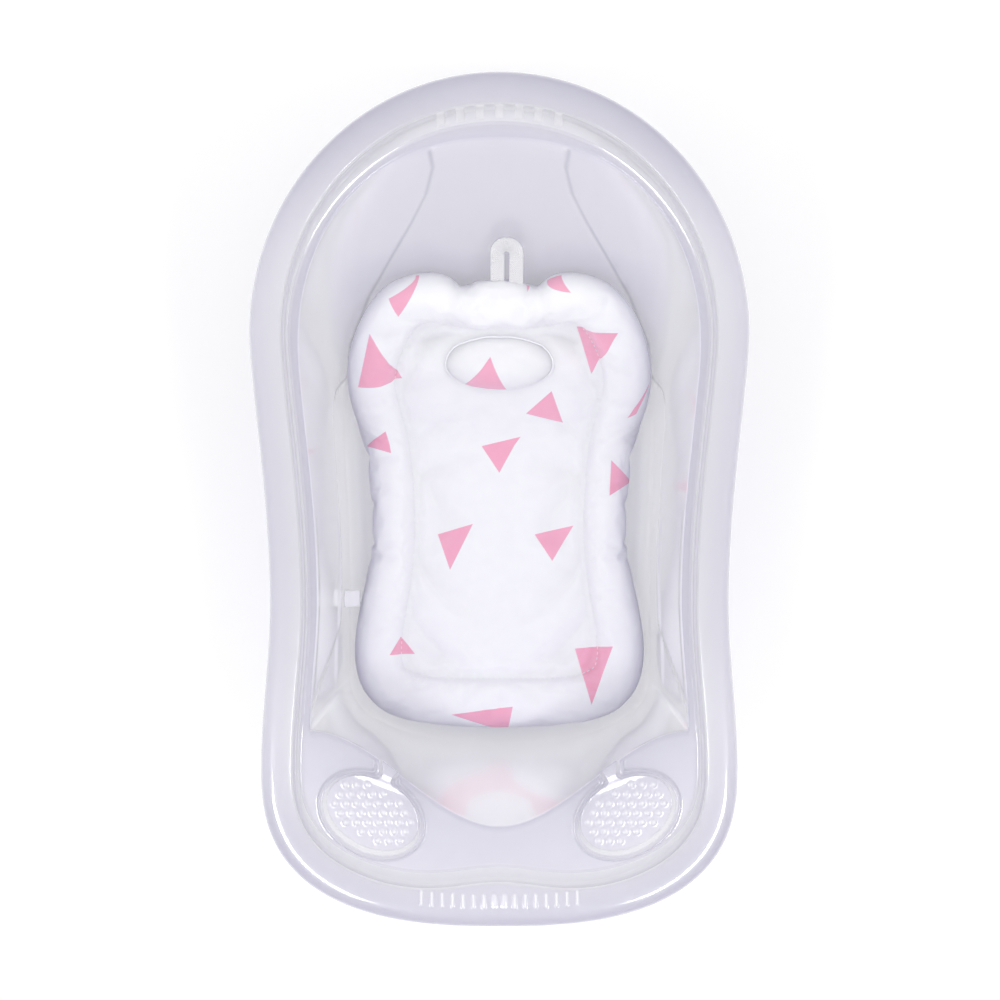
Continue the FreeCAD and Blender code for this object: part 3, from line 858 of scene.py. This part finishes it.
def blow_up(thing, pins, pressure_share):
    """Cloth under pressure, stepped and applied, with no point moved further than the limit."""
    start = points_of(thing)
    cloth = thing.modifiers.new("cloth", "CLOTH")
    configure(cloth.settings, quality=6, mass=0.2, tension_stiffness=12, compression_stiffness=12,
              shear_stiffness=6, bending_stiffness=0.35, use_pressure=True, uniform_pressure_force=PRESSURE,
              vertex_group_pressure=vertex_group(thing, "blown", pressure_share),
              vertex_group_mass=vertex_group(thing, "sewn", pins), shrink_min=-SHRINK)
    cloth.settings.effector_weights.gravity = 0
    cloth.collision_settings.use_collision = False
    configure(cloth.point_cache, frame_start=1, frame_end=PUFF_FRAMES)
    scene = bpy.context.scene
    for number in range(1, PUFF_FRAMES + 1):
        scene.frame_set(number)
    apply_modifiers(thing)
    scene.frame_set(1)
    move = points_of(thing) - start
    length = np.linalg.norm(move, axis=1, keepdims=True)
    set_points(thing, start + move * np.minimum(1, PUFF_LIMIT / np.maximum(length, 1e-9)))
    thing.vertex_groups.clear()


def sew(flat, edge):
    """Draws in the inner seam and gathers the fabric beside it."""
    inset, along = edge_places(flat, edge)
    off = inset - SEAM_INSET
    top = flat[:, 2] > 0
    gathers = np.sin(2 * math.pi * along / GATHER_PITCH + 2 * np.sin(along / 23))
    gathers *= 0.65 + 0.35 * np.sin(along / 41)
    flat[:, 2] += top * (0.55 * gathers * np.exp(-(off / 8) ** 2) - 1.7 * np.exp(-(off / 2.2) ** 2))
    flat[:, 2] = np.maximum(flat[:, 2], -ROLL_RADIUS)
    return flat, inset


def cushion_pad(edge, inward, radius):
    """The padded cushion in its place in the tub, its flat places, and their distances from the edge."""
    pad = join([roll_form(edge, inward, radius), seat_form(edge, inward)], "bath_cushion")
    fix_normals(pad)
    modify(pad, "REMESH", mode="VOXEL", voxel_size=VOXEL * MM)
    flat = points_of(pad)
    inset, _ = edge_places(flat, edge)
    blow_up(pad, seam_weight(flat, inset), 0.2 + 0.8 * (inset < 2 * ROLL_FORM))
    modify(pad, "SUBSURF", levels=1)
    flat, inset = sew(points_of(pad), edge)
    store_flat(pad, flat)
    set_points(pad, on_bed(flat))
    shade_smooth(pad)
    return pad, flat, inset


def top_heights(tree, places):
    """The pad's height over its flat middle sheet at each place (across, along)."""
    return np.array([tree.ray_cast(Vector((u, v, 90)), Vector((0, 0, -1)))[0].z for u, v in places])


def tube(points, radii, sides, closed=False):
    """A round tube along the points, with capped ends unless it is closed, as (points, faces)."""
    count = len(points)
    ring = []
    for i, (point, radius) in enumerate(zip(points, radii)):
        ahead, behind = ((i + 1) % count, i - 1) if closed else (min(i + 1, count - 1), max(i - 1, 0))
        way = Vector(points[ahead] - points[behind]).normalized()
        across = way.cross(Vector((0.1, 0.2, 1))).normalized()
        up = across.cross(way)
        for turn in around(sides):
            ring.append(tuple(Vector(point) + (across * math.cos(turn) + up * math.sin(turn)) * radius))
    if closed:
        return ring, grid_faces(count, sides, wrap_rows=True)
    return ring, grid_faces(count, sides) + end_caps(len(ring), sides)


def seam_stitches(tree, edge, inward):
    """The thread along the inner seam, on the pad's upper side."""
    line = edge + inward * SEAM_INSET
    for _ in range(3):
        inset, _ = edge_places(line, edge)
        line = line + inward * (SEAM_INSET - inset)[:, None]
    length = np.linalg.norm(np.diff(line, axis=0), axis=1).sum()
    line = even_curve(line, round(length / STITCH_PITCH))
    parts = []
    for i, place in enumerate(line):
        way = line[(i + 1) % len(line)] - line[i - 1]
        way /= np.linalg.norm(way)
        places = place + way * (np.linspace(-0.5, 0.5, 5) * STITCH_LENGTH)[:, None]
        lift = top_heights(tree, places) + THREAD * np.array([-0.8, 0.5, 0.8, 0.5, -0.8])
        radii = THREAD * np.array([0.5, 1, 1, 1, 0.5])
        parts.append(tube(on_bed(np.column_stack([places, lift])), radii, 6))
    return many("seam_stitches", parts)


def head_pillow(tree):
    """The low pillow sewn on the seat between the head's corners, with piping round it."""
    turns = around(96)
    rows = []
    for share in np.concatenate([np.linspace(0.03, 0.94, 15), [0.985, 1.0]]):
        u, v = PILLOW[0] * share * np.cos(turns), PILLOW_V + PILLOW[1] * share * np.sin(turns)
        places = np.column_stack([u, v])
        crown = PILLOW[2] * (1 - share ** 2.3) ** 0.62
        pucker = 0.35 * np.sin(turns * 26 + np.sin(turns * 5)) * math.exp(-((share - 0.94) / 0.1) ** 2)
        rows.append(np.column_stack([places, top_heights(tree, places) + crown + pucker - 0.4]))
    points = np.vstack([*rows, rows[-1] - (0, 0, 1.2)])
    faces = grid_faces(len(rows) + 1, len(turns)) + end_caps(len(points), len(turns))
    pillow = put_mesh("head_cushion", points, faces)
    fix_normals(pillow)
    store_flat(pillow, points)
    set_points(pillow, on_bed(points))
    line = on_bed(rows[-1] + (0, 0, 0.9))
    piping = put_mesh("head_cushion_piping", *tube(line, np.full(len(line), PIPING), 10, closed=True))
    return pillow, piping


def base_net(pad, flat, inset):
    """The net under the seat, a thin skin just below the pad, inside the roll."""
    net = put_object("base_net", pad.data.copy())
    kept = (flat[:, 2] < -1) & (inset > 2 * ROLL_FORM - 6)
    with editing(net) as work:
        spare = [f for f in work.faces if not all(kept[v.index] for v in f.verts)]
        bmesh.ops.delete(work, geom=spare, context="FACES")
        work.normal_update()
        for vertex in work.verts:
            vertex.co += vertex.normal * 0.3 * MM
    return modify(net, "SOLIDIFY", thickness=0.7 * MM, offset=1.0)


def loop_rows():
    """The strap's rows: centre, outward direction, banking angle, height and distance along."""
    rows = []
    leg = np.linspace(LOOP_ROOT, LOOP_LEG, 16)
    for y in leg[:-1]:
        height = -LOOP_STAGGER + 0.9 * math.sin(math.pi * y / LOOP_LEG)
        rows.append(((-LOOP_RADIUS, y), (-1.0, 0.0), 0.0, height, y))
    for share in np.linspace(0, 1, 27):
        turn = math.pi * (1 - share)
        arch = math.sin(math.pi * share)
        out = (math.cos(turn), math.sin(turn))
        centre = (LOOP_RADIUS * out[0], LOOP_LEG + LOOP_RADIUS * out[1])
        height = LOOP_STAGGER * (2 * float(smooth(share)) - 1) + 1.4 * arch
        rows.append((centre, out, LOOP_BANK * arch, height, LOOP_LEG + LOOP_RADIUS * math.pi * share))
    for y in leg[-2::-1]:
        height = LOOP_STAGGER + 0.7 * math.sin(math.pi * y / LOOP_LEG)
        rows.append(((LOOP_RADIUS, y), (1.0, 0.0), 0.0, height, 2 * LOOP_LEG + LOOP_RADIUS * math.pi - y))
    return rows


def loop_place(x, y, n):
    """A point of the flat loop, leant back at its hinge."""
    turn = BACKREST_ANGLE - LOOP_LEAN
    hinge = on_bed(np.array([[LOOP_X, SLOPE_START + ROLL_CLIMB + ROLL_RADIUS + LOOP_GAP, 0.0]]))[0]
    return hinge + (x, y * math.cos(turn) - n * math.sin(turn), y * math.sin(turn) + n * math.cos(turn))


def webbing_loop():
    """The loop of flat webbing at the cushion's head end."""
    turns = around(20)
    wide = STRAP[0] / 2 * np.sign(np.cos(turns)) * np.abs(np.cos(turns)) ** 0.3
    thick = STRAP[1] / 2 * np.sign(np.sin(turns)) * np.abs(np.sin(turns)) ** 0.6
    points, flat = [], []
    rows = loop_rows()
    for centre, out, bank, height, along in rows:
        for w, t in zip(wide, thick):
            across = w * math.cos(bank) - t * math.sin(bank)
            n = height - w * math.sin(bank) + t * math.cos(bank)
            points.append(loop_place(centre[0] + out[0] * across, centre[1] + out[1] * across, n))
            flat.append((w, along, t))
    faces = grid_faces(len(rows), len(turns)) + end_caps(len(points), len(turns))
    strap = put_mesh("webbing_loop", points, faces)
    fix_normals(strap)
    store_flat(strap, np.array(flat))
    return strap


def folded_tag():
    """The small blank tag: a strip folded in two, sewn into the left seam and leaning on the wall."""
    start, tip = np.array(TAG_START), np.array(TAG_TIP)
    length = np.linalg.norm(tip - start)
    way = (tip - start) / length
    side = np.array([way[1], -way[0]])
    layer = []
    for share in np.linspace(0, 1, 12):
        sag = 2.2 * math.sin(math.pi * share * 0.9) * share
        layer.append(start + way * length * share + side * (TAG_FOLD - sag))
    turns = np.linspace(0, math.pi, 7)[1:]
    bend = [layer[-1] + (way * math.sin(t) - side * (1 - math.cos(t))) * TAG_FOLD for t in turns]
    path = layer + bend + [p - side * 2 * TAG_FOLD for p in layer[-2::-1]]
    points = []
    for x, z in path:
        for along in np.linspace(-0.5, 0.5, 9):
            curl = 1.2 * (2 * along) ** 2 * (z - TAG_START[1]) / length
            points.append((x + curl, TAG_MIDDLE + TAG_WIDTH * along, z))
    tag = put_mesh("blank_tag", points, grid_faces(len(path), 9, wrap_columns=False))
    modify(tag, "SOLIDIFY", thickness=0.35 * MM, offset=0.0)
    shade_smooth(tag)
    return tag


# ==== materials

MILK = (0.70, 0.692, 0.83, 1)
# painted shade colour, for the flat stretches
PAINTED_SHADE_MILK = (0.29, 0.284, 0.39, 1)
# painted shade colour, for the lines along the basin's folds
FOLD_SHADE_MILK = (0.26, 0.255, 0.35, 1)
CLOUD = (0.70, 0.56, 0.66, 1)
PAINTED_SHADE_CLEAR = 0.27         # painted shade: how much less light scatters through the stretches painted darker
FOLD_SHADE_OPACITY = 0.17        # and through the painted shade lines along the basin's folds
PAINTED_LIGHT_Z = 140.0        # painted light: the lower walls and the floor are painted lighter below this height
RIM_SHADE_SPARE = 0.60           # how much less painted shade the rim gets away from its ends

# printed triangles, each as three corners on the flat cushion
TRIANGLES = (((-140, 218), (-156, 150), (-108, 152)), ((-118, 258), (-84, 279), (-108, 240)),
             ((84, 218), (128, 220), (102, 158)), ((46, 270), (60, 282), (76, 268)),
             ((26, 276), (44, 270), (30, 262)), ((168, 152), (153, 114), (143, 110)),
             ((86, -170), (128, -166), (104, -232)), ((-54, -243), (15, -234), (9, -266)),
             ((-124, -176), (-112, -156), (-96, -176)), ((-20, 60), (24, 74), (0, 30)),
             ((-70, -40), (-30, -28), (-56, -80)), ((60, -70), (84, -30), (40, -40)),
             ((-40, 150), (-10, 190), (8, 146)), ((30, 110), (72, 96), (58, 140)),
             ((-150, 60), (-128, 88), (-122, 52)), ((150, 20), (126, 44), (124, 4)))
PRINT_LOWEST = -3.0       # only the upper panel, down to the outer seam, is printed


class Finish:
    """A Principled material, with short ways to add nodes to it."""

    def __init__(self, name, **settings):
        self.material = bpy.data.materials.new(name)
        self.material.use_nodes = True
        self.shader = self.material.node_tree.nodes["Principled BSDF"]
        for socket, value in settings.items():
            self.shader.inputs[socket.replace("_", " ")].default_value = value

    def feed(self, socket, value):
        """Gives a socket a constant or another node's output."""
        if isinstance(value, bpy.types.NodeSocket):
            self.material.node_tree.links.new(value, socket)
        else:
            socket.default_value = value

    def node(self, kind, inputs, **settings):
        """A new node with those settings, and its inputs fed by name or number."""
        node = self.material.node_tree.nodes.new("ShaderNode" + kind)
        configure(node, **settings)
        for key, value in inputs.items():
            self.feed(node.inputs[key], value)
        return node

    def stored(self, name, output="Fac"):
        return self.node("Attribute", {}, attribute_name=name).outputs[output]

    def own_place(self):
        return self.node("TexCoord", {}).outputs["Object"]

    def maths(self, operation, first, second):
        return self.node("Math", {0: first, 1: second}, operation=operation).outputs[0]

    def mix(self, share, first, second):
        """A mix of two colours."""
        return self.node("Mix", {0: share, 6: first, 7: second}, data_type="RGBA").outputs[2]

    def noise(self, place, scale, detail=3.0):
        return self.node("TexNoise", {"Vector": place, "Scale": scale, "Detail": detail}).outputs["Fac"]

    def wave(self, place, direction, pitch):
        """Even bands across a direction, pitch millimetres apart."""
        inputs = {"Vector": place, "Scale": 2 * math.pi / (10 * pitch * MM), "Distortion": 0.4}
        return self.node("TexWave", inputs, bands_direction=direction).outputs["Fac"]

    def paint(self, colour):
        self.feed(self.shader.inputs["Base Color"], colour)

    def bump(self, height, strength, distance):
        """Adds a bump to whatever normal the shader already has."""
        node = self.node("Bump", {"Height": height, "Strength": strength, "Distance": distance})
        normal = self.shader.inputs["Normal"]
        if normal.is_linked:
            self.feed(node.inputs["Normal"], normal.links[0].from_socket)
        self.feed(normal, node.outputs["Normal"])


def tub_plastic():
    """Milky translucent polypropylene with a clear gloss."""
    finish = Finish("tub_plastic", Roughness=0.28, IOR=1.49, Subsurface_Weight=1.0, Subsurface_Scale=0.05,
                    Subsurface_Radius=(1.0, 1.0, 1.0), Coat_Weight=1.0, Coat_Roughness=0.05, Coat_IOR=1.65)
    # painted light and shade: the stored shares paint the flat stretches darker and the floor, the lowest
    # stretches, ribs, flutes and nubs lighter, in colour and in scattering
    painted_light_and_shade, fold_shade, place = finish.stored("painted_light_and_shade"), finish.stored("fold_shade"), finish.own_place()
    drift = finish.maths("MULTIPLY", finish.noise(place, 14.0), 0.12)
    cloudy = finish.mix(drift, finish.mix(painted_light_and_shade, MILK, PAINTED_SHADE_MILK), CLOUD)
    # painted shade: the basin's folds are painted darker and scatter less light
    finish.paint(finish.mix(fold_shade, cloudy, FOLD_SHADE_MILK))
    clear = finish.maths("MULTIPLY", painted_light_and_shade, PAINTED_SHADE_CLEAR)
    fold_shade_opacity = finish.maths("MULTIPLY", fold_shade, FOLD_SHADE_OPACITY)
    milky = finish.maths("SUBTRACT", 1.0, finish.maths("ADD", clear, fold_shade_opacity))
    finish.feed(finish.shader.inputs["Subsurface Weight"], milky)
    finish.bump(finish.noise(place, 30.0, 2.0), 0.06, 0.002)
    return finish.material


def edge_value(finish, place, start, end):
    """How far a flat place is to the left of the line from start to end."""
    way = end - start
    way /= np.linalg.norm(way)
    normal = (-way[1], way[0])
    line = (normal[0], normal[1], -(start[0] * normal[0] + start[1] * normal[1]) * MM)
    return finish.node("VectorMath", {0: place, 1: line}, operation="DOT_PRODUCT").outputs["Value"]


def print_mask(finish, flat):
    """1 inside any printed triangle and 0 outside."""
    split = finish.node("SeparateXYZ", {0: flat}).outputs
    place = finish.node("CombineXYZ", {0: split[0], 1: split[1], 2: 1.0}).outputs[0]
    mask = -1.0
    for corners in TRIANGLES:
        a, b, c = (np.array(corner, float) for corner in corners)
        if (b - a)[0] * (c - a)[1] - (b - a)[1] * (c - a)[0] < 0:
            b, c = c, b
        sides = [edge_value(finish, place, *pair) for pair in ((a, b), (b, c), (c, a))]
        nearest = finish.maths("MINIMUM", finish.maths("MINIMUM", sides[0], sides[1]), sides[2])
        mask = finish.maths("MAXIMUM", mask, nearest)
    above_seam = finish.maths("GREATER_THAN", split[2], PRINT_LOWEST * MM)
    return finish.maths("MULTIPLY", finish.maths("GREATER_THAN", mask, 0.0), above_seam)


def jersey():
    """White knitted jersey with printed pink triangles."""
    finish = Finish("jersey", Roughness=0.85, Sheen_Weight=0.25, Sheen_Roughness=0.5, Subsurface_Weight=0.6,
                    Subsurface_Scale=0.02, Subsurface_Radius=(1.0, 1.0, 1.0))
    place = finish.stored("flat", "Vector")
    blotch = finish.noise(place, 60.0)
    white = finish.mix(blotch, (0.92, 0.92, 0.965, 1), (0.875, 0.875, 0.93, 1))
    pink = finish.mix(blotch, (0.93, 0.47, 0.61, 1), (0.87, 0.41, 0.56, 1))
    finish.paint(finish.mix(print_mask(finish, place), white, pink))
    courses, wales = finish.wave(place, "Y", 1.0), finish.wave(place, "X", 1.3)
    finish.bump(finish.maths("MULTIPLY", courses, wales), 0.35, 0.0004)
    finish.bump(finish.noise(place, 26.0, 2.0), 0.35, 0.004)
    return finish.material


def webbing():
    """White cotton webbing in a diagonal twill."""
    finish = Finish("webbing", Roughness=0.8, Sheen_Weight=0.2, Sheen_Roughness=0.4, Subsurface_Weight=0.5,
                    Subsurface_Scale=0.01, Subsurface_Radius=(1.0, 1.0, 1.0))
    place = finish.stored("flat", "Vector")
    twill = finish.wave(place, "DIAGONAL", 2.2)
    finish.paint(finish.mix(twill, (0.92, 0.92, 0.97, 1), (1.0, 1.0, 1.0, 1)))
    finish.bump(twill, 0.8, 0.0006)
    finish.bump(finish.wave(place, "Y", 0.9), 0.3, 0.0003)
    return finish.material


def netting():
    """White polyester net with small staggered holes."""
    finish = Finish("netting", Roughness=0.7)
    inputs = {"Vector": finish.stored("flat", "Vector"), "Scale": 330.0, "Randomness": 0.15}
    cells = finish.node("TexVoronoi", inputs).outputs["Distance"]
    hole = finish.maths("LESS_THAN", cells, 0.34)
    finish.paint(finish.mix(hole, (0.90, 0.90, 0.93, 1), (0.45, 0.45, 0.50, 1)))
    finish.bump(cells, 0.7, 0.0006)
    return finish.material


def grained(name, colour, other, scale, depth, **settings):
    """A plain moulded or woven surface: two close colours and a fine grain."""
    finish = Finish(name, **settings)
    place = finish.own_place()
    finish.paint(finish.mix(finish.noise(place, scale / 8), colour, other))
    finish.bump(finish.noise(place, scale), 0.4, depth * MM)
    return finish.material


def dress(node, material):
    """Gives a CAD node a material of its own."""
    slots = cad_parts[node].data.materials
    slots.clear()
    slots.append(material)


# ==== camera, light and floor

CAMERA = (0.0007, -0.0009, 1.865)
LENS = 57.1
FLOOR_HALF = 4000.0
WORLD_LIGHT = 0.95
LAMP_HEIGHT = 1.87
LAMP_POWER = 0.30
GRID_ANGLE = math.radians(36)


def add_camera():
    data = bpy.data.cameras.new("camera")
    configure(data, lens=LENS, clip_start=0.01)
    camera = put_object("camera", data)
    camera.location = CAMERA
    bpy.context.scene.camera = camera


def strip(name, start, end, width, target):
    """A softbox with a grid, laid from start to end above the tub and aimed at the target."""
    start, end = Vector((*start, LAMP_HEIGHT)), Vector((*end, LAMP_HEIGHT))
    data = bpy.data.lights.new(name, "AREA")
    configure(data, shape="RECTANGLE", size=(end - start).length, size_y=width, energy=LAMP_POWER,
              spread=GRID_ANGLE)
    lamp = put_object(name, data)
    middle = (start + end) / 2
    along = (end - start).normalized()
    across = (middle - Vector(target)).normalized().cross(along).normalized()
    lamp.matrix_world = Matrix((along, across, along.cross(across))).transposed().to_4x4()
    lamp.location = middle


def add_light():
    world = bpy.data.worlds.new("studio")
    world.use_nodes = True
    background = world.node_tree.nodes["Background"]
    background.inputs["Color"].default_value = (1, 1, 1, 1)
    background.inputs["Strength"].default_value = WORLD_LIGHT
    bpy.context.scene.world = world
    for side in (-1, 1):
        strip(f"foot_light_{side}", (side * 0.35, -1.04), (side * 0.70, -0.61), 0.18,
              (side * 0.17, -0.37, 0.26))
        strip(f"side_light_{side}", (side * 0.57, -0.67), (side * 1.08, -0.06), 0.13,
              (-side * 0.16, 0.31, 0.24))


def add_floor():
    corners = [(-FLOOR_HALF, -FLOOR_HALF, 0), (FLOOR_HALF, -FLOOR_HALF, 0), (FLOOR_HALF, FLOOR_HALF, 0),
               (-FLOOR_HALF, FLOOR_HALF, 0)]
    floor = put_mesh("floor", corners, [(0, 1, 2, 3)])
    finish = Finish("floor", Base_Color=(0.93, 0.93, 0.93, 1), Roughness=0.9, Emission_Color=(1, 1, 1, 1),
                    Emission_Strength=0.14)
    floor.data.materials.append(finish.material)


# ==== the scene

def add_tub():
    tub = tub_skin()
    tub.data.materials.append(tub_plastic())
    place(tub, "tub", "tub_plastic", "tub_shell")
    rubber = grained("foot_rubber", (0.50, 0.50, 0.53, 1), (0.42, 0.42, 0.45, 1), 900.0, 0.15,
                     Roughness=0.75)
    for end in ("foot", "head"):
        for side in ("left", "right"):
            dress(f"foot_pad_{end}_{side}", rubber)
    cap = grained("plug_plastic", (0.80, 0.80, 0.84, 1), (0.76, 0.76, 0.81, 1), 700.0, 0.08,
                  Roughness=0.35, Coat_Weight=0.3)
    seal = grained("plug_seal", (0.62, 0.62, 0.66, 1), (0.56, 0.56, 0.60, 1), 800.0, 0.1,
                   Roughness=0.6, Subsurface_Weight=0.2, Subsurface_Scale=0.004)
    dress("drain_plug_cap", cap)
    dress("drain_plug_seal", seal)


def place(thing, body, slot, *nodes):
    """Puts a piece on its body and hides the CAD nodes that it stands for; slot, the finish's name, is not
    used.
    """
    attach(thing, body)
    if nodes:
        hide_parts(*nodes)


def add_cushion():
    cloth = jersey()
    thread = grained("thread", (0.90, 0.90, 0.93, 1), (0.82, 0.82, 0.87, 1), 2500.0, 0.1, Roughness=0.7,
                     Sheen_Weight=0.3)
    edge, inward, radius = cushion_edge()
    pad, flat, inset = cushion_pad(edge, inward, radius)
    tree = search_tree(flat.tolist(), pad.data.polygons)
    net = base_net(pad, flat, inset)
    stitches = seam_stitches(tree, edge, inward)
    pillow, piping = head_pillow(tree)
    tag = folded_tag()
    for thing, material in ((pad, cloth), (pillow, cloth), (piping, thread), (stitches, thread),
                            (net, netting()), (tag, satin())):
        thing.data.materials.clear()
        thing.data.materials.append(material)
    place(pad, "cushion", "cushion_fabric", "cushion_roll_cover", "cushion_roll_fill", "cushion_seat_cover",
          "cushion_seat_foam")
    place(pillow, "cushion", "cushion_fabric", "head_pillow")
    place(net, "cushion", "cushion_net", "cushion_base_net")
    place(tag, "cushion", "tag_cloth", "side_tag")
    place(piping, "cushion", "cushion_fabric")
    place(stitches, "cushion", "cushion_fabric")


def satin():
    """Blank woven satin, for the tag."""
    return grained("tag_satin", (0.95, 0.95, 0.97, 1), (0.90, 0.90, 0.94, 1), 1500.0, 0.06, Roughness=0.4,
                   Sheen_Weight=0.3)


def add_loop():
    strap = webbing_loop()
    strap.data.materials.append(webbing())
    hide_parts("hanging_loop")
    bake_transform(strap)


def main():
    bpy.context.scene.view_settings.view_transform = "Standard"
    add_camera()
    add_light()
    add_floor()
    add_tub()
    add_cushion()
    add_loop()


main()
